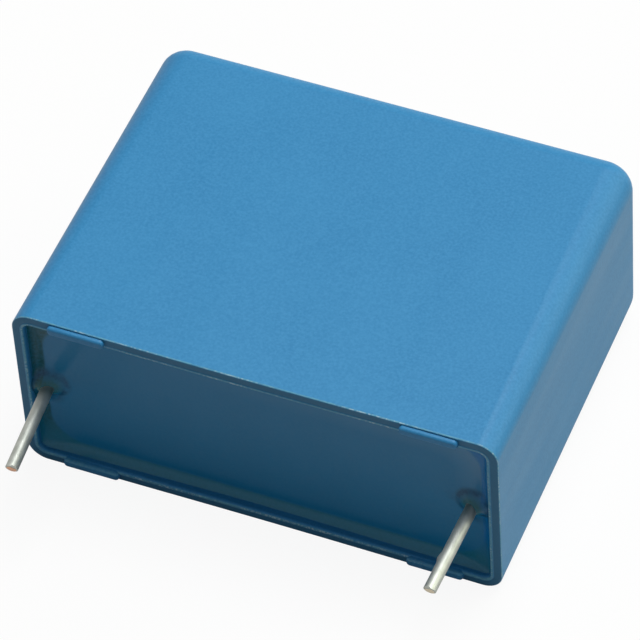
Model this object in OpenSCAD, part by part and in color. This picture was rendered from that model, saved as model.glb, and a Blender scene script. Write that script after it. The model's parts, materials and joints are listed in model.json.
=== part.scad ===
// Box film capacitor, lying on one broad face with its two leads pointing along -Y.
// A moulded box, open at the lead end, holds a flattened film roll with sprayed metal ends;
// a wire is welded to each end and resin fills the box almost to its mouth.

/* [Case] */
// Length of the box, across the two leads
case_l = 31.2; // [30:0.1:34]
// Thickness of the box, between its broad faces
case_t = 13.4; // [11:0.1:16]
// Height of the box, from the rim of its mouth to its closed end
case_h = 24.2; // [22:0.1:28]
// Thickness of the side walls at the mouth
wall = 0.8; // [0.6:0.05:1]
// Thickness of the closed end
end_wall = 0.9; // [0.7:0.05:1.2]
// How much thicker each side wall is at the closed end, for mould draft
wall_draft = 0.15; // [0.05:0.05:0.3]
// Radius of the four long edges at the mouth
mouth_r = 1.3; // [1.1:0.1:2]
// Radius of the same edges at the closed end
back_r = 1.9; // [1.6:0.1:2.6]
// Radius of the edge that runs round the closed end
back_edge_r = 1.4; // [0.8:0.1:1.5]
// Radius at the foot of the cavity
cavity_floor_r = 0.5; // [0.3:0.1:0.6]
// Bevel along the inner edge of the mouth
mouth_bevel = 0.2; // [0.1:0.05:0.3]

/* [Stand-off feet] */
// Length of each foot along its wall
foot_l = 3.7; // [3:0.1:5]
// Height of each foot above the rim
foot_h = 0.3; // [0.2:0.05:0.5]
// Width of each foot across its wall
foot_w = 0.63; // [0.4:0.01:0.65]
// Set-back of each foot from the broad face
foot_inset = 0.15; // [0.05:0.05:0.2]
// Distance from the end of the box to the near end of each foot
foot_end_gap = 2.45; // [2:0.05:5]

/* [Potting resin] */
// Depth of the flat resin surface below the rim
resin_depth = 0.9; // [0.7:0.05:1.2]
// Depth below the rim at which the resin stops climbing the wall
resin_climb = 0.35; // [0.3:0.05:0.5]
// Reach of the curved resin edge from the wall
meniscus_w = 1.1; // [0.8:0.1:1.5]
// Height of the resin collar that climbs each lead
collar_h = 0.4; // [0.2:0.05:0.5]
// Reach of that collar from the lead's surface
collar_w = 0.6; // [0.4:0.05:0.8]

/* [Leads] */
// Diameter of the lead wire
lead_d = 0.8; // [0.6:0.1:1]
// Distance from the end of the box to the axis of each lead
lead_inset = 1.85; // [1.75:0.05:2.2]
// Free length of each lead beyond the seating plane
lead_len = 6; // [3:0.5:10]
// Inward lean of the left lead, in degrees
left_lean = 4.4; // [1:0.1:5]
// Inward lean of the right lead, in degrees
right_lean = 1; // [1:0.1:5]
// Depth below the rim at which the leads start to lean
bend_depth = 0.1; // [0:0.05:0.3]
// Bevel left round each cut end
tip_bevel = 0.08; // [0.05:0.01:0.15]
// Length of wire welded along each sprayed end
weld_l = 14; // [8:1:16]
// Depth to which the wire is sunk in the sprayed end
weld_sink = 0.15; // [0.05:0.05:0.2]

/* [Winding] */
// Resin between the roll and each broad wall, at the cavity floor
winding_side_gap = 0.45; // [0.3:0.05:1.5]
// Resin over the roll, under the flat resin surface
winding_cover = 1.7; // [1:0.1:3]
// Resin between the roll and the cavity floor
winding_floor_gap = 0.5; // [0.3:0.1:1.5]
// Thickness of the sprayed metal layer on each end of the roll
spray_t = 0.5; // [0.3:0.05:0.7]
// Sideways set of the roll and its leads from the middle of the box
roll_offset = -0.1; // [-0.2:0.05:0.2]

/* [Hidden] */

corner_steps = 10;
edge_steps = 6;
meniscus_steps = 7;
// Angle at which the resin meets the wall, so that its edge has a real thickness
contact_angle = 20;
// Radius of the flat resin surface's outline at its corners
pool_corner_r = 2.6;
overrun = 0.3;
lead_r = lead_d / 2;
// How far the knuckle at the lead's bend stands proud of the wire
knuckle_swell = 0.01;

lead_pitch = case_l - 2 * lead_inset;
foot_pitch = case_l - 2 * foot_end_gap - foot_l;

// Along Y from the seating plane: the rim, the closed end and the cavity floor
rim_y = foot_h;
back_y = rim_y + case_h;
floor_y = back_y - end_wall;
resin_y = rim_y + resin_depth;
bend_y = rim_y + bend_depth;
roll_near_y = resin_y + winding_cover;
roll_far_y = floor_y - winding_floor_gap;
weld_end_y = roll_near_y + weld_l;

// The roll's flattened section
winding_t = case_t - 2 * (wall + wall_draft + winding_side_gap);
winding_h = roll_far_y - roll_near_y;

// The sprayed ends reach in behind the leads, and the roll fills the space between them
spray_face_x = lead_pitch / 2 - lead_r + weld_sink;
winding_l = 2 * (spray_face_x - spray_t);

// The origin is under the middle of the whole part, at the level of the face that it lies on
tip_y = lead_len + (lead_r - tip_bevel) * sin(max(left_lean, right_lean));
origin_shift = [0, (tip_y - back_y) / 2, case_t / 2];

// One outline of the box at height y, set in from its faces, as points round a rounded rectangle
function outline(inset, r, y) =
    let (hx = case_l / 2 - inset - r, hz = case_t / 2 - inset - r)
    [
        for (corner = [[1, 1, 0], [-1, 1, 90], [-1, -1, 180], [1, -1, 270]])
            for (i = [0 : corner_steps])
                let (a = corner[2] + 90 * i / corner_steps)
                [corner[0] * hx + r * cos(a), y, corner[1] * hz + r * sin(a)]
    ];

// Solid through a list of outlines of equal length, closed by a flat cap at each end
module loft(outlines) {
    n = len(outlines[0]);
    last = len(outlines) - 1;
    points = [for (ring = outlines) each ring];
    sides = [
        for (k = [0 : last - 1])
            for (i = [0 : n - 1])
                let (j = (i + 1) % n)
                [k * n + i, k * n + j, (k + 1) * n + j, (k + 1) * n + i]
    ];
    front_cap = [[for (i = [n - 1 : -1 : 0]) i]];
    back_cap = [[for (i = [0 : n - 1]) last * n + i]];
    polyhedron(points, concat(front_cap, sides, back_cap));
}

// Wall thickness and edge radius of the cavity at height y, both straight from mouth to floor
function along_cavity(y) = (y - rim_y) / (floor_y - rim_y);
function cavity_inset(y) = wall + wall_draft * along_cavity(y);
function cavity_r(y) =
    let (at_mouth = mouth_r - wall, at_floor = back_r - wall - wall_draft)
    at_mouth + (at_floor - at_mouth) * along_cavity(y);
function cavity_outline(y) = outline(cavity_inset(y), cavity_r(y), y);

// Outlines round a rounded floor, from the side wall in to the flat
function rounded_end(inset, r, end_y, edge_r) = [
    for (i = [0 : edge_steps])
        let (a = 90 * i / edge_steps, in = edge_r * (1 - cos(a)))
        outline(inset + in, r - in, end_y - edge_r * (1 - sin(a)))
];

function cavity_floor() =
    let (y = floor_y - cavity_floor_r)
    rounded_end(cavity_inset(y), cavity_r(y), floor_y, cavity_floor_r);

// Outlines of the resin's edge: from the flat surface out to the wall it climbs
function resin_surface() = [
    for (i = [meniscus_steps : -1 : 0])
        let (
            a = contact_angle + (90 - contact_angle) * i / meniscus_steps,
            reach = (cos(contact_angle) - cos(a)) / cos(contact_angle),
            rise = (sin(a) - sin(contact_angle)) / (1 - sin(contact_angle)),
            y = rim_y + resin_climb + (resin_depth - resin_climb) * rise
        )
        outline(
            cavity_inset(y) + meniscus_w * reach,
            cavity_r(y) + (pool_corner_r - cavity_r(y)) * reach,
            y
        )
];

module at_origin() {
    translate(origin_shift) children();
}

// The roll and its leads are set together, a little off the middle of the box
module off_middle() {
    translate([roll_offset, 0, 0]) children();
}

// Outer form: the long edges grow rounder towards the closed end
module case_outside() {
    loft(concat([outline(0, mouth_r, rim_y)], rounded_end(0, back_r, back_y, back_edge_r)));
}

// Inner form, with the bevelled mouth run on past the rim
module case_cavity() {
    bevel_end_y = rim_y + mouth_bevel;
    mouth_y = rim_y - overrun;
    mouth_inset = cavity_inset(bevel_end_y) - mouth_bevel - overrun;
    mouth_outline_r = cavity_r(bevel_end_y) + mouth_bevel + overrun;
    loft(concat(
        [outline(mouth_inset, mouth_outline_r, mouth_y)],
        [cavity_outline(bevel_end_y)],
        cavity_floor()
    ));
}

// One stand-off: a bar with quarter-round ends, rooted in the wall behind the bevel
module foot() {
    root = mouth_bevel + overrun;
    linear_extrude(foot_w) {
        translate([-foot_l / 2, 0]) square([foot_l, root]);
        translate([foot_h - foot_l / 2, -foot_h]) square([foot_l - 2 * foot_h, foot_h + root]);
        for (side = [-1, 1])
            translate([side * (foot_l / 2 - foot_h), 0]) circle(r = foot_h, $fn = 48);
    }
}

module feet() {
    for (side = [0, 1])
        mirror([0, 0, side])
            for (end = [-1, 1])
                translate([end * foot_pitch / 2, rim_y, case_t / 2 - foot_inset - foot_w]) foot();
}

module case() {
    color([0.28, 0.55, 0.74]) at_origin() {
        difference() {
            case_outside();
            case_cavity();
        }
        feet();
    }
}

// Resin drawn up round one lead, as a flared collar
module lead_collar(side) {
    steps = 6;
    flare = [
        for (i = [0 : steps])
            let (a = 90 * i / steps)
            [lead_r + collar_w * (1 - sin(a)), collar_h * (1 - cos(a))]
    ];
    collar_root = collar_w;
    base = [[0, collar_h], [0, -collar_root], [lead_r + collar_w, -collar_root]];
    translate([side * lead_pitch / 2, resin_y, 0])
        rotate([90, 0, 0])
            rotate_extrude($fn = 64) polygon(concat(base, flare));
}

module potting_resin() {
    color([0.1, 0.26, 0.36]) at_origin()
        difference() {
            union() {
                loft(concat(resin_surface(), cavity_floor()));
                intersection() {
                    off_middle() for (side = [-1, 1]) lead_collar(side);
                    case_cavity();
                }
            }
            off_middle() {
                roll_body(2 * spray_face_x);
                for (side = [-1, 1]) lead_core(side);
            }
        }
}

// The straight length of one lead and the knuckle at its bend
module lead_core(side) {
    translate([side * lead_pitch / 2, bend_y, 0])
        rotate([-90, 0, 0]) {
            cylinder(h = weld_end_y - bend_y, r = lead_r, $fn = 64);
            sphere(r = lead_r + knuckle_swell, $fn = 64);
        }
}

// Flattened roll section, two half-rounds joined by flats, centred along X
module roll_body(length) {
    flat_h = winding_h - winding_t;
    translate([-length / 2, (roll_near_y + roll_far_y) / 2, 0])
        rotate([90, 0, 90])
            linear_extrude(length) {
                square([flat_h, winding_t], center = true);
                for (side = [-1, 1])
                    translate([side * flat_h / 2, 0]) circle(d = winding_t, $fn = 96);
            }
}

module film_winding() {
    color([0.86, 0.84, 0.78]) at_origin() off_middle() roll_body(winding_l);
}

// Sprayed metal on one end of the roll, with the welded wire's bed in its face
module contact_layer(side) {
    color([0.62, 0.62, 0.6]) at_origin() off_middle()
        difference() {
            intersection() {
                roll_body(2 * spray_face_x);
                translate([side > 0 ? winding_l / 2 : -spray_face_x, rim_y, -case_t / 2])
                    cube([spray_t, case_h, case_t]);
            }
            lead_core(side);
        }
}

module left_contact_layer() {
    contact_layer(-1);
}

module right_contact_layer() {
    contact_layer(1);
}

// One lead: a straight welded length, a knuckle and a free end that leans inwards
module lead(lean) {
    shank_l = (bend_y + lead_len) / cos(lean) - tip_bevel;
    lead_core(1);
    translate([lead_pitch / 2, bend_y, 0])
        rotate([90, 0, -lean]) {
            cylinder(h = shank_l, r = lead_r, $fn = 64);
            translate([0, 0, shank_l])
                cylinder(h = tip_bevel, r1 = lead_r, r2 = lead_r - tip_bevel, $fn = 64);
        }
}

module left_lead() {
    color([0.8, 0.8, 0.78]) at_origin() off_middle() mirror([1, 0, 0]) lead(left_lean);
}

module right_lead() {
    color([0.8, 0.8, 0.78]) at_origin() off_middle() lead(right_lean);
}

case();
potting_resin();
film_winding();
left_contact_layer();
right_contact_layer();
left_lead();
right_lead();
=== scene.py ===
"""Box film capacitor lying on one broad face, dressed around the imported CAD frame.

The moulded case, the cast resin in its mouth and the two tinned leads are modelled here in
finer form; the film roll and its sprayed ends stay as the frame gives them. Lengths are in
metres, and MM turns a size in millimetres into metres.
"""
import json
import math
from collections import namedtuple

import bmesh
import bpy
from mathutils import Matrix, Vector


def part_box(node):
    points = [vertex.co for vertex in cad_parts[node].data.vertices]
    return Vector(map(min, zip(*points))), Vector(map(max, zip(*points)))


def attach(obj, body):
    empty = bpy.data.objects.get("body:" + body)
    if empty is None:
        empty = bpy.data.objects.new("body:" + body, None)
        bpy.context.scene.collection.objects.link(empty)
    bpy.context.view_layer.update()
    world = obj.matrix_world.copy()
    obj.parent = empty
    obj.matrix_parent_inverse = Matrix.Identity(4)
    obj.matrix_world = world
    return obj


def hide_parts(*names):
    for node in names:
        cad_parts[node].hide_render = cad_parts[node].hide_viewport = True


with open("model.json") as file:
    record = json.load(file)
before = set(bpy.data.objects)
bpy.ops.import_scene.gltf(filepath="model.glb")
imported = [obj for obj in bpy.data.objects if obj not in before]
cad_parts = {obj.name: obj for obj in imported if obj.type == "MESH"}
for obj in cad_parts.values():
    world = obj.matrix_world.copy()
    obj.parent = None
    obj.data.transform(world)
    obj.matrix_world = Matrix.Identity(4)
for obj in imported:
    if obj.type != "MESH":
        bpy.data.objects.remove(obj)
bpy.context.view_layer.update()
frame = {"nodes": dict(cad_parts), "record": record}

MM = 0.001

# Case, from the frame's box round the node
CASE_LOW, CASE_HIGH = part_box("case")
HALF_X = (CASE_HIGH.x - CASE_LOW.x) / 2
HALF_Z = (CASE_HIGH.z - CASE_LOW.z) / 2
MID_Z = (CASE_HIGH.z + CASE_LOW.z) / 2
SEAT_Y = CASE_LOW.y
BACK_Y = CASE_HIGH.y
FOOT_H = 0.3 * MM
RIM_Y = SEAT_Y + FOOT_H
END_WALL = 0.9 * MM
CAVITY_FLOOR_Y = BACK_Y - END_WALL

WALL = 0.8 * MM
# How much thicker the walls are at the closed end, for mould draft
WALL_DRAFT = 0.15 * MM
MOUTH_R = 1.3 * MM
BACK_R = 1.9 * MM
BACK_EDGE_R = 1.4 * MM
CAVITY_FLOOR_R = 0.5 * MM
MOUTH_BEVEL = 0.2 * MM
RIM_ROUND = 0.07 * MM
# Rim tones over its rounded outer edge: 1 is a painted highlight and -1 is painted shade
RIM_TONES = (0.7, 1, 0.6, -1)
# The thin lip beside the cavity, and its steps: share of its width, rise towards the closed end, tone
# (above 0 a painted highlight, below 0 painted shade)
LIP_H = 0.03 * MM
LIP_W = 0.3 * MM
LIP_STEPS = (
    (1, 0, -1), (0.85, -LIP_H, 0.6), (0.4, -LIP_H, 1), (0.2, LIP_H, 0.4), (0, MOUTH_BEVEL, -0.5),
)
# Inward sag of the broad walls at the middle of the mouth, and how deep in it is felt
RIM_SAG = 0.09 * MM
SAG_DEPTH = 9 * MM
# Cuts that let the walls bend: their spacing, and how many lie on each side of the middle one
SAG_STEP = 2.4 * MM
SAG_CUTS = 3

FOOT_L = 3.7 * MM
FOOT_W = 0.63 * MM
FOOT_INSET = 0.15 * MM
# From the middle of the box to the middle of each foot
FOOT_X = 11.3 * MM
FOOT_CORNER_R = 0.27 * MM
FOOT_EDGE_R = 0.19 * MM
# How far each foot is sunk in the rim
FOOT_ROOT = 0.15 * MM
# Rim tone on each foot's inner edge, a painted highlight
FOOT_TONE = 0.6

LEAD_R = 0.4 * MM

# Resin
RESIN_Y = RIM_Y + 0.9 * MM
# Where the resin stops climbing the wall, and the angle at which it meets it
CONTACT_Y = RIM_Y + 0.35 * MM
CONTACT_ANGLE = math.radians(20)
MENISCUS_W = 0.8 * MM
POOL_R = 2.6 * MM
POOL_FLAT_W = 1.6 * MM
COLLAR_H = {"left_lead_pin": 0.82 * MM, "right_lead_pin": 0.62 * MM}
COLLAR_W = 1.2 * MM
# Share of its height by which a collar stands higher towards the end wall, and lower away from it
WALLWARD_RISE = 0.3
# Cuts across the resin's surface, fine beside the leads and coarse between them
FINE_REACH = (LEAD_R + COLLAR_W) * 1.4
FINE_STEP = FINE_REACH / 14
COARSE_STEP = 1.2 * MM
# A place within this of the flat surface counts as on it
LEVEL_GAP = 0.01 * MM

# Film roll and its sprayed ends, from the frame's boxes round the nodes
ROLL_LOW, ROLL_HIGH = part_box("film_winding")
LEFT_SPRAY_LOW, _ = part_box("left_contact_layer")
_, RIGHT_SPRAY_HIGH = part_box("right_contact_layer")

# Leads: the mounts on the seating plane give each free end's place and direction
LEAD_MOUNTS = {mount["name"]: mount for mount in frame["record"]["mounts"]}
BEND_Y = RIM_Y + 0.1 * MM
BEND_R = 0.5 * MM
WIRE_SIDES = 48
# Depth of the flat that the cutter left beside each tip
FACET_DEPTH = 0.12 * MM
# Tin smeared over the edge of the bare core
SMEAR_W = 0.08 * MM
SHEAR_TILT = math.radians(17)
# Distance of each burr from its lead's tip
BURRS = {"right_lead_pin": 2.5 * MM}
BURR_SIDE = Vector((-0.95, 0, 0.3))
BURR_W = 0.3 * MM
BURR_H = 0.09 * MM
# A lead's two material slots
TIN, CORE = 0, 1

# Steps round one corner of an outline, and along the other curved and straight stretches
CORNER_STEPS = 16
EDGE_STEPS = 8
MENISCUS_STEPS = 16
FLAT_STEPS = 12
BEND_STEPS = 6
WELD_STEPS = 4
FREE_STEPS = 24

# A vertex within this of a cutting plane counts as on it
CUT_GAP = 1e-8
# Edges sharper than these stay crisp
CASE_CREASE = math.radians(32)
LEAD_CREASE = math.radians(30)
RESIN_CREASE = math.radians(40)


# ---------------------------------------------------------------- mesh helpers

# One outline of the box: its inset from the faces, corner radius, height along Y and a mark
Section = namedtuple("Section", "inset radius y mark", defaults=[0])


def outline(bm, inset, radius, y):
    """Adds one outline of the box at height y, a rectangle with rounded corners; gives its edges."""
    before = set(bm.edges)
    half_x, half_z = HALF_X - inset, HALF_Z - inset
    corners = [
        bm.verts.new((half_x * side_x, y, MID_Z + half_z * side_z))
        for side_x, side_z in ((-1, -1), (1, -1), (1, 1), (-1, 1))
    ]
    bm.faces.new(corners)
    bmesh.ops.bevel(
        bm, geom=corners, offset=radius, offset_type="OFFSET", affect="VERTICES",
        segments=CORNER_STEPS, profile=0.5, material=-1,
    )
    edges = [edge for edge in bm.edges if edge not in before]
    faces = list({face for edge in edges for face in edge.link_faces})
    bmesh.ops.delete(bm, geom=faces, context="FACES_ONLY")
    return edges


def loft(bm, sections, mark_name):
    """Closed skin through sections, capped at both ends; their marks become a vertex attribute.

    The outlines are bridged as an evenly spaced stack, so that two at one height can't cross,
    and then go to their own heights.
    """
    marks = bm.verts.layers.float.new(mark_name)
    rings = [
        outline(bm, section.inset, section.radius, level * HALF_Z)
        for level, section in enumerate(sections)
    ]
    for painted_reflection_ring, following in zip(rings, rings[1:]):
        bmesh.ops.bridge_loops(bm, edges=painted_reflection_ring + following)
    for painted_reflection_ring in (rings[0], rings[-1]):
        bmesh.ops.edgeloop_fill(bm, edges=painted_reflection_ring)
    for painted_reflection_ring, section in zip(rings, sections):
        for vert in {vert for edge in painted_reflection_ring for vert in edge.verts}:
            vert.co.y = section.y
            vert[marks] = section.mark
    bm.normal_update()
    bmesh.ops.recalc_face_normals(bm, faces=bm.faces)


def whole(faces):
    """The faces with their own edges and corners."""
    return list({part for face in faces for part in (face, *face.edges, *face.verts)})


def cut(bm, faces, point, normal):
    """Cuts these faces along a plane."""
    bmesh.ops.bisect_plane(bm, geom=whole(faces), dist=CUT_GAP, plane_co=point, plane_no=normal)


def round_over(bm, edges, radius):
    """Rounds these edges over; gives the new faces."""
    return bmesh.ops.bevel(
        bm, geom=edges, offset=radius, offset_type="OFFSET", affect="EDGES",
        segments=EDGE_STEPS, profile=0.5, material=-1,
    )["faces"]


def new_verts(made):
    """The vertices among what an extrusion made."""
    return [part for part in made["geom"] if isinstance(part, bmesh.types.BMVert)]


def quarter_turn(steps):
    """Angles from 0 to a right angle, in equal steps."""
    return [math.pi / 2 * i / steps for i in range(steps + 1)]


def piece(bm, name, materials, crease):
    """Turns the bmesh into a piece of the root body; edges sharper than the crease stay crisp."""
    for face in bm.faces:
        face.smooth = True
    for edge in bm.edges:
        edge.smooth = edge.calc_face_angle(0) < crease
    mesh = bpy.data.meshes.new(name)
    bm.to_mesh(mesh)
    bm.free()
    for material in materials:
        mesh.materials.append(material)
    obj = bpy.data.objects.new(name, mesh)
    bpy.context.scene.collection.objects.link(obj)
    weighted = obj.modifiers.new("weighted_normals", "WEIGHTED_NORMAL")
    weighted.keep_sharp = True
    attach(obj, "root")
    return obj


# ---------------------------------------------------------------- case

def along_cavity(y):
    """How far into the cavity y lies: 0 at the rim, 1 at its floor."""
    return (y - RIM_Y) / (CAVITY_FLOOR_Y - RIM_Y)


def cavity_inset(y):
    """Wall thickness at y."""
    return WALL + WALL_DRAFT * along_cavity(y)


def cavity_radius(y):
    """Radius of the cavity's long edges at y."""
    at_mouth = MOUTH_R - WALL
    at_floor = BACK_R - WALL - WALL_DRAFT
    return at_mouth + (at_floor - at_mouth) * along_cavity(y)


def rounded_end(inset, radius, end_y, edge_r):
    """Sections round a rounded end, from the side wall in to the flat."""
    return [
        Section(
            inset + edge_r * (1 - math.cos(a)),
            radius - edge_r * (1 - math.cos(a)),
            end_y - edge_r * (1 - math.sin(a)),
        )
        for a in quarter_turn(EDGE_STEPS)
    ]


def cavity_end():
    """Sections round the foot of the cavity."""
    y = CAVITY_FLOOR_Y - CAVITY_FLOOR_R
    return rounded_end(cavity_inset(y), cavity_radius(y), CAVITY_FLOOR_Y, CAVITY_FLOOR_R)


def case_sections():
    """Sections from the closed end over the rim and down to the cavity floor.

    Their marks are the rim's tone: 1 for a painted highlight on its two edges and -1 for painted
    shade on the land between.
    """
    outside = rounded_end(0, BACK_R, BACK_Y, BACK_EDGE_R)[::-1]
    flash_end = Section(0, MOUTH_R, RIM_Y + 2 * RIM_ROUND)
    rim = [
        Section(
            RIM_ROUND * (1 - math.cos(a)), MOUTH_R - RIM_ROUND * (1 - math.cos(a)),
            RIM_Y + RIM_ROUND * (1 - math.sin(a)), tone,
        )
        for a, tone in zip(quarter_turn(len(RIM_TONES) - 1), RIM_TONES)
    ]
    lip_y = RIM_Y + MOUTH_BEVEL
    lip_inset, lip_radius = cavity_inset(lip_y), cavity_radius(lip_y)
    mouth = [
        Section(lip_inset - part * LIP_W, lip_radius + part * LIP_W, RIM_Y + rise, tone)
        for part, rise, tone in LIP_STEPS
    ]
    return outside + [flash_end] + rim + mouth + cavity_end()


def add_foot(bm, centre_x, side):
    """Adds one stand-off foot, rooted in the rim beside a broad wall (side 1 top, -1 bottom)."""
    middle_z = MID_Z + side * (HALF_Z - FOOT_INSET - FOOT_W / 2)
    inner_z = middle_z - side * FOOT_W / 2
    place = Matrix.Translation((centre_x, (SEAT_Y + RIM_Y + FOOT_ROOT) / 2, middle_z))
    size = Matrix.Diagonal((FOOT_L, FOOT_H + FOOT_ROOT, FOOT_W, 1))
    verts = bmesh.ops.create_cube(bm, size=1, matrix=place @ size)["verts"]
    uprights = {
        edge for vert in verts for edge in vert.link_edges
        if abs(edge.verts[0].co.y - edge.verts[1].co.y) > FOOT_H
    }
    faces = round_over(bm, list(uprights), FOOT_CORNER_R)
    seat_edges = {
        edge for face in faces for edge in face.edges
        if max(vert.co.y for vert in edge.verts) < SEAT_Y + FOOT_H / 10
    }
    seat = max(
        (face for edge in seat_edges for face in edge.link_faces), key=lambda face: -face.normal.y
    )
    faces = round_over(bm, list(seat.edges), FOOT_EDGE_R)
    # The foot's inner edge gets the painted highlight, the rest of its rounding none
    tones = bm.verts.layers.float["rim_tone"]
    for vert in {vert for face in faces for vert in face.verts}:
        on_inner_edge = abs(vert.co.z - inner_z) < FOOT_EDGE_R * 0.7
        vert[tones] = FOOT_TONE if on_inner_edge else 0


def let_rim_sag(bm):
    """Draws the broad walls a little inwards at the middle of the mouth, as moulded boxes shrink."""
    for vert in bm.verts:
        along = max(0, 1 - (vert.co.x / (HALF_X - MOUTH_R)) ** 2)
        depth = max(0, 1 - (vert.co.y - RIM_Y) / SAG_DEPTH)
        side = vert.co.z - MID_Z
        if abs(side) > HALF_Z - 2 * WALL:
            vert.co.z -= math.copysign(RIM_SAG * along ** 2 * depth ** 2, side)


def case_shell(material):
    """The moulded box with its four feet, as one piece."""
    bm = bmesh.new()
    loft(bm, case_sections(), "rim_tone")
    for step in range(-SAG_CUTS, SAG_CUTS + 1):
        cut(bm, bm.faces, (step * SAG_STEP, 0, 0), (1, 0, 0))
    let_rim_sag(bm)
    for centre_x in (-FOOT_X, FOOT_X):
        for side in (-1, 1):
            add_foot(bm, centre_x, side)
    shell = piece(bm, "case_shell", [material], CASE_CREASE)
    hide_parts("case")


# ---------------------------------------------------------------- leads

def lead_line(mount_name):
    """The bend point on a lead's axis and the direction of its free end."""
    mount = LEAD_MOUNTS[mount_name]
    place, away = Vector(mount["pos_m"]), Vector(mount["axis"]).normalized()
    return place + away * ((BEND_Y - place.y) / away.y), away


def free_end(bm):
    """The wire's end face on the side of the board."""
    caps = [face for face in bm.faces if len(face.verts) == WIRE_SIDES]
    return min(caps, key=lambda face: face.calc_center_median().y)


def draw_wire(bm, vector, steps):
    """Draws the wire's free end on by a vector, in equal steps."""
    for _ in range(steps):
        made = bmesh.ops.extrude_face_region(bm, geom=whole([free_end(bm)]))
        bmesh.ops.translate(bm, verts=new_verts(made), vec=vector / steps)


def shear(bm, point, normal, material_index):
    """Cuts the free end off along a plane and closes it with a face."""
    cut_part = bmesh.ops.bisect_plane(
        bm, geom=whole(bm.faces), dist=CUT_GAP, plane_co=point, plane_no=normal, clear_outer=True,
    )["geom_cut"]
    edges = [part for part in cut_part if isinstance(part, bmesh.types.BMEdge)]
    for face in bmesh.ops.edgeloop_fill(bm, edges=edges)["faces"]:
        face.material_index = material_index


def raise_burr(bm, point):
    """Raises a small burr, as pliers leave it, round a point on the wire's surface."""
    for vert in bm.verts:
        nearness = max(0, 1 - ((vert.co - point).length / BURR_W) ** 2)
        vert.co += BURR_SIDE * BURR_H * nearness


def sheared_way(away):
    """Normal of the sheared face, tilted down from the wire's own direction."""
    return Vector((away.x, away.y, -math.tan(SHEAR_TILT))).normalized()


def lead(name, mount_name, cad_node, facet_turn, wire, cut_face):
    """One wire: welded length, smooth bend and a leaning free end, sheared at its tip."""
    bend, away = lead_line(mount_name)
    low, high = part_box(cad_node)
    lean = math.asin(abs(away.x))
    inward = math.copysign(1, away.x)
    tangent = BEND_R * math.tan(lean / 2)
    bm = bmesh.new()
    bmesh.ops.create_circle(bm, cap_ends=True, segments=WIRE_SIDES, radius=LEAD_R)
    bmesh.ops.rotate(bm, verts=bm.verts, matrix=Matrix.Rotation(math.pi / 2, 3, "X"))
    bmesh.ops.translate(bm, verts=bm.verts, vec=(bend.x, high.y, bend.z))
    draw_wire(bm, Vector((0, bend.y + tangent - high.y, 0)), WELD_STEPS)
    bmesh.ops.spin(
        bm, geom=whole([free_end(bm)]), axis=(0, 0, inward), angle=lean, steps=BEND_STEPS,
        cent=(bend.x + inward * BEND_R, bend.y + tangent, bend.z), use_duplicate=False,
    )
    start = free_end(bm).calc_center_median()
    free_l = (low.y - start.y) / away.y
    draw_wire(bm, away * free_l, FREE_STEPS)
    tip = start + away * (free_l - LEAD_R * abs(away.x))
    shear(bm, tip - away * LEAD_R * math.tan(SHEAR_TILT), sheared_way(away), CORE)
    facet = Matrix.Rotation(facet_turn, 3, away) @ Vector((0, 0, 1))
    shear(bm, tip + facet * (LEAD_R - FACET_DEPTH), (away + facet).normalized(), TIN)
    if mount_name in BURRS:
        raise_burr(bm, tip - away * BURRS[mount_name] + BURR_SIDE * LEAD_R)
    sheared = [face for face in bm.faces if face.material_index == CORE]
    bmesh.ops.inset_region(bm, faces=sheared, thickness=SMEAR_W, depth=SMEAR_W / 2)
    for face in bm.faces:
        face.material_index = CORE if face in sheared else TIN
    bmesh.ops.recalc_face_normals(bm, faces=bm.faces)
    obj = piece(bm, name, [wire, cut_face], LEAD_CREASE)
    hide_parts(cad_node)


# ---------------------------------------------------------------- resin

def meniscus_sections():
    """Sections of the resin's surface, from the flat pool out to the wall that it climbs.

    Their marks run from -1 well out on the pool to 0 where the climb starts and 1 at the wall.
    """
    pool = [
        Section(
            cavity_inset(RESIN_Y) + MENISCUS_W + POOL_FLAT_W * (1 - i / FLAT_STEPS),
            POOL_R - POOL_FLAT_W * (1 - i / FLAT_STEPS),
            RESIN_Y,
            i / FLAT_STEPS - 1,
        )
        for i in range(FLAT_STEPS)
    ]
    climb = []
    for i in range(MENISCUS_STEPS, -1, -1):
        a = CONTACT_ANGLE + (math.pi / 2 - CONTACT_ANGLE) * i / MENISCUS_STEPS
        reach = (math.cos(CONTACT_ANGLE) - math.cos(a)) / math.cos(CONTACT_ANGLE)
        rise = (math.sin(a) - math.sin(CONTACT_ANGLE)) / (1 - math.sin(CONTACT_ANGLE))
        y = CONTACT_Y + (RESIN_Y - CONTACT_Y) * rise
        radius = cavity_radius(y) + (POOL_R - cavity_radius(y)) * reach
        climb.append(Section(cavity_inset(y) + MENISCUS_W * reach, radius, y, 1 - reach))
    return pool + climb


def collar_reach(distance):
    """How much of a collar's height is left at a distance from its lead's axis, from 1 to 0."""
    reach = (distance - LEAD_R) / COLLAR_W
    return (1 - min(1, max(0, reach))) ** 2


def draw_up_collars(bm):
    """Draws the surface up round the leads, where it runs on into the climb up the wall.

    The attribute lead_film keeps how near each vertex is to a lead, from 0 to 1 at the wire.
    """
    films = bm.verts.layers.float.new("lead_film")
    collars = [(lead_line(name)[0], height) for name, height in COLLAR_H.items()]
    for vert in bm.verts:
        if vert.co.y > RESIN_Y + LEVEL_GAP:
            continue
        collar = 0
        for base, height in collars:
            distance = math.hypot(vert.co.x - base.x, vert.co.z - base.z)
            wallward = math.copysign(1, base.x) * (vert.co.x - base.x) / max(distance, LEAD_R)
            reach = collar_reach(distance)
            collar = max(collar, height * (1 + WALLWARD_RISE * wallward) * reach)
            vert[films] = max(vert[films], reach)
        vert.co.y = max(RIM_Y + LIP_H, vert.co.y - collar)


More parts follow.
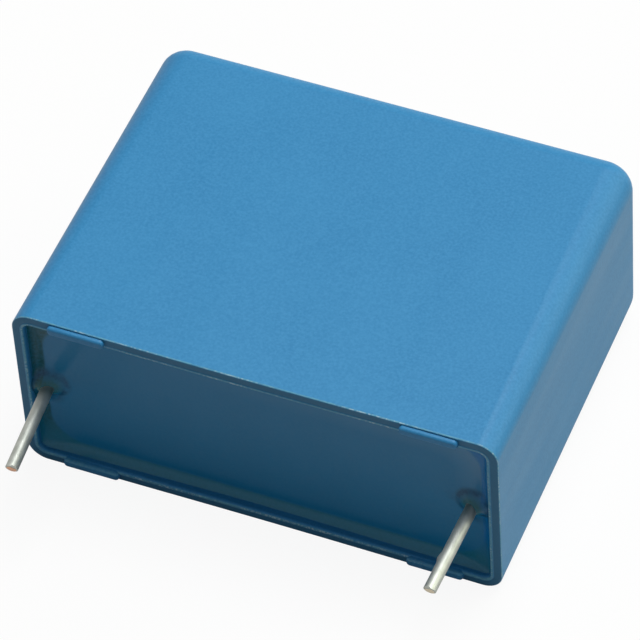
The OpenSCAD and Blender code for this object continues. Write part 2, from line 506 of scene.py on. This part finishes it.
def hollow_for_roll(bm):
    """Adds the space that the roll and its sprayed ends fill, as an inner skin."""
    # A hair under half the roll's thickness, so that its two rounded edges don't meet
    round_r = (ROLL_HIGH.z - ROLL_LOW.z) / 2 * 0.9999
    before = set(bm.verts)
    start = LEFT_SPRAY_LOW.x
    corners = [
        bm.verts.new((start, y, z))
        for y, z in (
            (ROLL_LOW.y, ROLL_LOW.z), (ROLL_HIGH.y, ROLL_LOW.z),
            (ROLL_HIGH.y, ROLL_HIGH.z), (ROLL_LOW.y, ROLL_HIGH.z),
        )
    ]
    bm.faces.new(corners)
    bmesh.ops.bevel(
        bm, geom=corners, offset=round_r, offset_type="OFFSET", affect="VERTICES",
        segments=CORNER_STEPS * 2, profile=0.5, material=-1,
    )
    section = {vert for vert in bm.verts if vert not in before}
    faces = list({face for vert in section for face in vert.link_faces})
    moved = new_verts(bmesh.ops.extrude_face_region(bm, geom=whole(faces)))
    bmesh.ops.translate(bm, verts=moved, vec=(RIGHT_SPRAY_HIGH.x - start, 0, 0))
    skin = {face for vert in (*section, *moved) for face in vert.link_faces}
    bmesh.ops.recalc_face_normals(bm, faces=list(skin))
    bmesh.ops.reverse_faces(bm, faces=list(skin))


def cut_places(low, high, centres):
    """Places of the cuts along one side: fine beside the leads' centres and coarse elsewhere."""
    places, place = [], low
    while place < high:
        places.append(place)
        beside = min(abs(place - centre) for centre in centres) < FINE_REACH
        place += FINE_STEP if beside else COARSE_STEP
    return places[1:]


def shown_surface(bm):
    """The resin's faces from its flat pool out to the wall."""
    return [face for face in bm.faces if face.calc_center_median().y < RESIN_Y + LEVEL_GAP]


def cast_resin(material):
    """The resin with its climbing edge, its collars and the hollow that the roll fills."""
    bm = bmesh.new()
    loft(bm, meniscus_sections() + cavity_end(), "climb")
    lead_xs = [lead_line(name)[0].x for name in COLLAR_H]
    inside = cavity_inset(RESIN_Y)
    for x in cut_places(-HALF_X + inside, HALF_X - inside, lead_xs):
        cut(bm, shown_surface(bm), (x, 0, 0), (1, 0, 0))
    for z in cut_places(inside, 2 * HALF_Z - inside, [MID_Z]):
        cut(bm, shown_surface(bm), (0, 0, z), (0, 0, 1))
    draw_up_collars(bm)
    hollow_for_roll(bm)
    resin = piece(bm, "cast_resin", [material], RESIN_CREASE)
    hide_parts("potting_resin")


# ---------------------------------------------------------------- materials

# The colour sockets of a Mix node, whose names its other kinds share
MIX_FIRST, MIX_SECOND, MIX_RESULT = 6, 7, 2


class Shading:
    """A material's node tree with short calls for the nodes that its pattern needs."""

    def __init__(self, name):
        self.material = bpy.data.materials.new(name)
        self.material.use_nodes = True
        self.nodes = self.material.node_tree.nodes
        self.links = self.material.node_tree.links
        self.shader = self.nodes["Principled BSDF"]
        self.place = self.nodes.new("ShaderNodeTexCoord").outputs["Object"]

    def set(self, **values):
        """Sets sockets of the shader that are the same all over; _ stands for a space."""
        for socket, value in values.items():
            self.shader.inputs[socket.replace("_", " ")].default_value = value

    def stretched(self, scale):
        """Object coordinates scaled along X, Y and Z."""
        mapping = self.nodes.new("ShaderNodeMapping")
        mapping.inputs["Scale"].default_value = scale
        self.links.new(self.place, mapping.inputs["Vector"])
        return mapping.outputs["Vector"]

    def noise(self, size, detail=2, rough=0.5, along=None):
        """Noise whose grains are this large, in metres, or drawn out by a scale along each axis."""
        node = self.nodes.new("ShaderNodeTexNoise")
        node.inputs["Scale"].default_value = 1 / size
        node.inputs["Detail"].default_value = detail
        node.inputs["Roughness"].default_value = rough
        self.links.new(self.stretched(along) if along else self.place, node.inputs["Vector"])
        return node.outputs["Fac"]

    def axis(self, name):
        """The place along X, Y or Z."""
        node = self.nodes.new("ShaderNodeSeparateXYZ")
        self.links.new(self.place, node.inputs["Vector"])
        return node.outputs[name]

    def attribute(self, name):
        node = self.nodes.new("ShaderNodeAttribute")
        node.attribute_name = name
        return node.outputs["Fac"]

    def times(self, first, second):
        node = self.nodes.new("ShaderNodeMath")
        node.operation = "MULTIPLY"
        self.links.new(first, node.inputs[0])
        self.links.new(second, node.inputs[1])
        return node.outputs[0]

    def spread(self, value, low, high, to_low=0, to_high=1):
        """The value's range low to high, moved to another range and held there."""
        node = self.nodes.new("ShaderNodeMapRange")
        for socket, number in zip(
            ("From Min", "From Max", "To Min", "To Max"), (low, high, to_low, to_high)
        ):
            node.inputs[socket].default_value = number
        self.links.new(value, node.inputs["Value"])
        return node.outputs["Result"]

    def blend(self, factor, first, second):
        """Two colours mixed; each is a colour or another node's output."""
        node = self.nodes.new("ShaderNodeMix")
        node.data_type = "RGBA"
        self.links.new(factor, node.inputs["Factor"])
        self.feed(first, node.inputs[MIX_FIRST])
        self.feed(second, node.inputs[MIX_SECOND])
        return node.outputs[MIX_RESULT]

    def feed(self, value, socket):
        """Links another node's output to a socket, or sets a colour on it."""
        if isinstance(value, tuple):
            socket.default_value = (*value, 1)
        else:
            self.links.new(value, socket)

    def paint(self, colour, roughness=None):
        """Gives the shader its patterned colour and roughness."""
        self.feed(colour, self.shader.inputs["Base Color"])
        if roughness:
            self.feed(roughness, self.shader.inputs["Roughness"])

    def bump(self, heights):
        """Bumps given as (height, strength, distance in metres), one over the other."""
        normal = None
        for height, strength, distance in heights:
            node = self.nodes.new("ShaderNodeBump")
            node.inputs["Strength"].default_value = strength
            node.inputs["Distance"].default_value = distance
            self.links.new(height, node.inputs["Height"])
            if normal:
                self.links.new(normal, node.inputs["Normal"])
            normal = node.outputs["Normal"]
        self.links.new(normal, self.shader.inputs["Normal"])


def blue_plastic():
    """Satin moulded plastic: fine grain, faint cloudiness and flow streaks along the box.

    The rim's tone gives the land painted shade and its edges a painted highlight, broken into short
    glints.
    """
    look = Shading("moulded_blue_plastic")
    look.set(Specular_IOR_Level=0.34)
    cloud = look.spread(look.noise(6 * MM, 3), 0.3, 0.7)
    grain = look.noise(0.17 * MM, 2)
    streaks = look.noise(1 * MM, 2, along=(1 / 2.2, 1 / 18, 1 / 2.2))
    highlight_patches = look.spread(look.noise(0.5 * MM, 4, 0.7), 0.35, 0.6, 0.3, 1)
    glint_spots = look.spread(look.noise(0.18 * MM, 2, 0.7), 0.48, 0.58, 0, 0.9)
    stretches = look.spread(look.noise(3 * MM, 1), 0.42, 0.62, 0.15, 1)
    tone = look.attribute("rim_tone")
    colour = look.blend(cloud, (0.020, 0.208, 0.455), (0.026, 0.228, 0.485))
    colour = look.blend(look.spread(grain, 0.3, 0.7, 0, 0.6), colour, (0.05, 0.29, 0.57))
    # Painted shade on the rim's land
    painted_shade_land = look.spread(tone, 0, -1, 0, 0.75)
    colour = look.blend(painted_shade_land, colour, (0.010, 0.130, 0.250))
    # Painted highlight along the rim's edges and the feet's inner edges, in patches
    painted_highlight_edge = look.times(look.spread(tone, 0.2, 1), highlight_patches)
    colour = look.blend(painted_highlight_edge, colour, (0.13, 0.42, 0.55))
    # Painted glints along the highlighted edges, broken by noise
    painted_glints = look.times(look.times(look.spread(tone, 0.5, 0.9), glint_spots), stretches)
    colour = look.blend(painted_glints, colour, (0.46, 0.66, 0.76))
    look.paint(colour, look.spread(streaks, 0.3, 0.7, 0.38, 0.46))
    look.bump([(grain, 0.15, 0.01 * MM)])
    return look.material


def dark_resin():
    """Glossy cast resin: dull green on the leads, a painted glow at the right wall, painted shade at
    the left and painted reflections.

    The climb runs from -1 on the pool to 1 at the wall, and the film from 0 to 1 at a lead.
    """
    look = Shading("glossy_blue_resin")
    look.set(Specular_IOR_Level=0.24, Roughness=0.2)
    specks = look.noise(0.17 * MM, 2)
    colour = look.blend(look.noise(3 * MM, 2), (0.010, 0.205, 0.435), (0.014, 0.225, 0.475))

    climb = look.attribute("climb")
    right = look.spread(look.axis("X"), -8 * MM, 12 * MM)
    above = look.spread(look.axis("Z"), MID_Z - 1 * MM, MID_Z + 3 * MM)
    below = look.spread(look.axis("Z"), MID_Z - 3 * MM, MID_Z - 5 * MM)
    # Painted sheen on the pool just inside the climb, on the right and upper part only
    painted_sheen = look.times(look.spread(climb, -1, 0.1, 0, 0.75), look.spread(climb, 0.3, 0.1))
    colour = look.blend(look.times(look.times(painted_sheen, right), above), colour, (0.12, 0.31, 0.52))
    # Painted light on the climb: painted shade at the left wall, a painted glow of light through the
    # right wall, and a painted reflection at the lower wall
    painted_wall_light = look.blend(right, (0.003, 0.100, 0.130), (0.000, 0.190, 0.520))
    painted_wall_light = look.blend(below, painted_wall_light, (0.012, 0.210, 0.330))
    colour = look.blend(look.spread(climb, 0.15, 0.28), colour, painted_wall_light)

    film = look.attribute("lead_film")
    # Painted reflection: a broken dark blue ring round each collar
    painted_reflection_ring = look.times(look.spread(film, 0.03, 0.16), look.spread(film, 0.55, 0.3))
    painted_reflection_ring = look.times(painted_reflection_ring, look.spread(look.noise(0.9 * MM, 1), 0.36, 0.54, 0.25, 0.9))
    colour = look.blend(painted_reflection_ring, colour, (0.002, 0.075, 0.170))
    colour = look.blend(look.spread(film, 0.3, 0.75, 0, 0.75), colour, (0.022, 0.150, 0.105))
    colour = look.blend(look.spread(specks, 0.3, 0.7, 0, 0.3), colour, (0.030, 0.260, 0.480))
    look.paint(colour)
    look.bump([(look.noise(2.5 * MM, 1), 0.25, 0.05 * MM), (specks, 0.1, 0.01 * MM)])
    return look.material


def tinned_wire():
    """Dull tin plating with drawing marks along the wire and a resin film near the case."""
    look = Shading("dull_tin_plating")
    look.set(Metallic=0.75)
    marks = look.noise(0.08 * MM, 2, along=(1, 1 / 12, 1))
    stain = look.spread(look.noise(0.7 * MM, 3), 0.35, 0.7)
    near_case = look.spread(look.axis("Y"), RIM_Y - 1 * MM, RIM_Y - 0.1 * MM, 0, 0.8)
    film = look.times(near_case, look.spread(look.noise(1.1 * MM, 1), 0.35, 0.6, 0.35, 1))
    colour = look.blend(stain, (0.50, 0.52, 0.48), (0.40, 0.42, 0.38))
    colour = look.blend(film, colour, (0.10, 0.14, 0.11))
    look.paint(colour, look.spread(marks, 0.3, 0.7, 0.42, 0.54))
    look.bump([(marks, 0.15, 0.01 * MM)])
    return look.material


def sheared_metal(name, dark, light):
    """The wire's core laid bare where it was sheared."""
    look = Shading(name)
    look.set(Metallic=1.0)
    tears = look.noise(0.09 * MM, 2)
    look.paint(look.blend(tears, dark, light), look.spread(tears, 0.3, 0.7, 0.4, 0.6))
    look.bump([(tears, 0.4, 0.02 * MM)])
    return look.material


def wound_film():
    """Metallised film edges in fine windings."""
    look = Shading("wound_metallised_film")
    look.set(Specular_IOR_Level=0.4)
    turns = look.noise(0.12 * MM, 2, along=(1 / 40, 1, 1))
    colour = look.blend(turns, (0.62, 0.60, 0.54), (0.76, 0.74, 0.68))
    look.paint(colour, look.spread(turns, 0.3, 0.7, 0.4, 0.6))
    look.bump([(turns, 0.3, 0.02 * MM)])
    return look.material


def sprayed_metal():
    """Grainy zinc, sprayed on the ends of the roll."""
    look = Shading("sprayed_zinc")
    look.set(Metallic=0.8)
    grains = look.noise(0.15 * MM, 4, 0.7)
    colour = look.blend(grains, (0.25, 0.25, 0.245), (0.46, 0.46, 0.45))
    look.paint(colour, look.spread(grains, 0.3, 0.7, 0.6, 0.85))
    look.bump([(grains, 0.8, 0.05 * MM)])
    return look.material


# ---------------------------------------------------------------- camera, lights, floor

CAMERA_AZIMUTH = math.radians(25.231)
CAMERA_ELEVATION = math.radians(49.49)
CAMERA_ROLL = math.radians(-4.177)
CAMERA_DISTANCE = 334.75 * MM
CAMERA_AIM = Vector((-0.492, 2.343, 6.247)) * MM
# Lens and sensor in millimetres, as Blender counts them, and the nearest and furthest shown
CAMERA_LENS = 307.525
CAMERA_SENSOR = 36
CAMERA_CLIP = (0.01, 10)

ROOM_LIGHT = 0.155
# The floor's own grey, and the paler one that the camera and reflections see
FLOOR_GREY = (0.48, 0.48, 0.48, 1)
FLOOR_PALE = (0.9, 0.9, 0.9, 1)
FLOOR_HALF = 2


def camera():
    """A long lens that looks down on the mouth, from in front and to the right."""
    data = bpy.data.cameras.new("camera")
    data.sensor_width = CAMERA_SENSOR
    data.lens = CAMERA_LENS
    data.clip_start, data.clip_end = CAMERA_CLIP
    obj = bpy.data.objects.new("camera", data)
    turn = (
        Matrix.Rotation(CAMERA_AZIMUTH, 4, "Z")
        @ Matrix.Rotation(math.pi / 2 - CAMERA_ELEVATION, 4, "X")
        @ Matrix.Rotation(CAMERA_ROLL, 4, "Z")
    )
    back = turn.to_3x3() @ Vector((0, 0, 1))
    obj.matrix_world = Matrix.Translation(CAMERA_AIM + back * CAMERA_DISTANCE) @ turn
    bpy.context.scene.collection.objects.link(obj)
    bpy.context.scene.camera = obj


def softbox(name, place, size, watts, tint=(1, 1, 1)):
    """A square lamp that faces the object."""
    data = bpy.data.lights.new(name, "AREA")
    data.shape = "SQUARE"
    data.size = size
    data.energy = watts
    data.color = tint
    obj = bpy.data.objects.new(name, data)
    obj.location = place
    obj.rotation_euler = Vector(place).to_track_quat("Z", "Y").to_euler()
    bpy.context.scene.collection.objects.link(obj)


def pale_share(tree, seen, mirrored):
    """How much plain white a ray sees: one share for the camera, one for reflections."""
    path = tree.nodes.new("ShaderNodeLightPath")
    shares = []
    for output, share in (
        ("Is Camera Ray", seen), ("Is Glossy Ray", mirrored), ("Is Transmission Ray", mirrored),
    ):
        node = tree.nodes.new("ShaderNodeMath")
        node.operation = "MULTIPLY"
        node.inputs[1].default_value = share
        tree.links.new(path.outputs[output], node.inputs[0])
        shares.append(node.outputs[0])
    total = shares[0]
    for share in shares[1:]:
        node = tree.nodes.new("ShaderNodeMath")
        node.operation = "MAXIMUM"
        tree.links.new(total, node.inputs[0])
        tree.links.new(share, node.inputs[1])
        total = node.outputs[0]
    return total


def partly(tree, share, first, second, target):
    """Feeds a socket with two shaders, the second taking this share."""
    mix = tree.nodes.new("ShaderNodeMixShader")
    tree.links.new(share, mix.inputs["Fac"])
    tree.links.new(first, mix.inputs[1])
    tree.links.new(second, mix.inputs[2])
    tree.links.new(mix.outputs["Shader"], target)


def floor():
    """A plain pale floor, which keeps the object's shadow."""
    bm = bmesh.new()
    bmesh.ops.create_grid(bm, x_segments=1, y_segments=1, size=FLOOR_HALF)
    mesh = bpy.data.meshes.new("floor")
    bm.to_mesh(mesh)
    bm.free()
    obj = bpy.data.objects.new("floor", mesh)
    bpy.context.scene.collection.objects.link(obj)
    material = bpy.data.materials.new("pale_floor")
    material.use_nodes = True
    tree = material.node_tree
    matte = tree.nodes["Principled BSDF"]
    tone = tree.nodes.new("ShaderNodeMix")
    tone.data_type = "RGBA"
    tree.links.new(pale_share(tree, 1, 0.72), tone.inputs["Factor"])
    tone.inputs[MIX_FIRST].default_value = FLOOR_GREY
    tone.inputs[MIX_SECOND].default_value = FLOOR_PALE
    tree.links.new(tone.outputs[MIX_RESULT], matte.inputs["Base Color"])
    matte.inputs["Roughness"].default_value = 1
    matte.inputs["Specular IOR Level"].default_value = 0
    white = tree.nodes.new("ShaderNodeEmission")
    partly(
        tree, pale_share(tree, 0.92, 0.05), matte.outputs["BSDF"], white.outputs["Emission"],
        tree.nodes["Material Output"].inputs["Surface"],
    )
    mesh.materials.append(material)


def studio():
    """Even room light, which the camera and reflections see as white, and two soft lamps."""
    made = bpy.data.worlds.new("studio")
    made.use_nodes = True
    tree = made.node_tree
    room = tree.nodes["Background"]
    room.inputs["Color"].default_value = (1, 1, 1, 1)
    room.inputs["Strength"].default_value = ROOM_LIGHT
    white = tree.nodes.new("ShaderNodeBackground")
    white.inputs["Strength"].default_value = 1
    partly(
        tree, pale_share(tree, 1, 1), room.outputs["Background"], white.outputs["Background"],
        tree.nodes["World Output"].inputs["Surface"],
    )
    bpy.context.scene.world = made
    softbox("overhead_softbox", place=(0.06, 0.15, 0.576), size=0.3, watts=2.6)
    softbox(
        "side_softbox", place=(0.536, 0.47, 0.362), size=0.7, watts=2.5, tint=(0.97, 1, 0.78),
    )


def finish_kept_nodes():
    """Gives the frame's own roll and sprayed ends their finish."""
    zinc = sprayed_metal()
    for name, material in (
        ("film_winding", wound_film()), ("left_contact_layer", zinc), ("right_contact_layer", zinc),
    ):
        mesh = frame["nodes"][name].data
        mesh.materials.clear()
        mesh.materials.append(material)


camera()
studio()
floor()
case_shell(blue_plastic())
cast_resin(dark_resin())
tin = tinned_wire()
copper = sheared_metal("sheared_copper_core", (0.66, 0.34, 0.20), (0.80, 0.50, 0.34))
smeared = sheared_metal("tin_smeared_core", (0.62, 0.52, 0.38), (0.78, 0.70, 0.56))
lead("left_lead_wire", "left_lead_pin", "left_lead", math.radians(-40), tin, copper)
lead("right_lead_wire", "right_lead_pin", "right_lead", math.radians(25), tin, smeared)
finish_kept_nodes()
bpy.context.scene.view_settings.view_transform = "Standard"
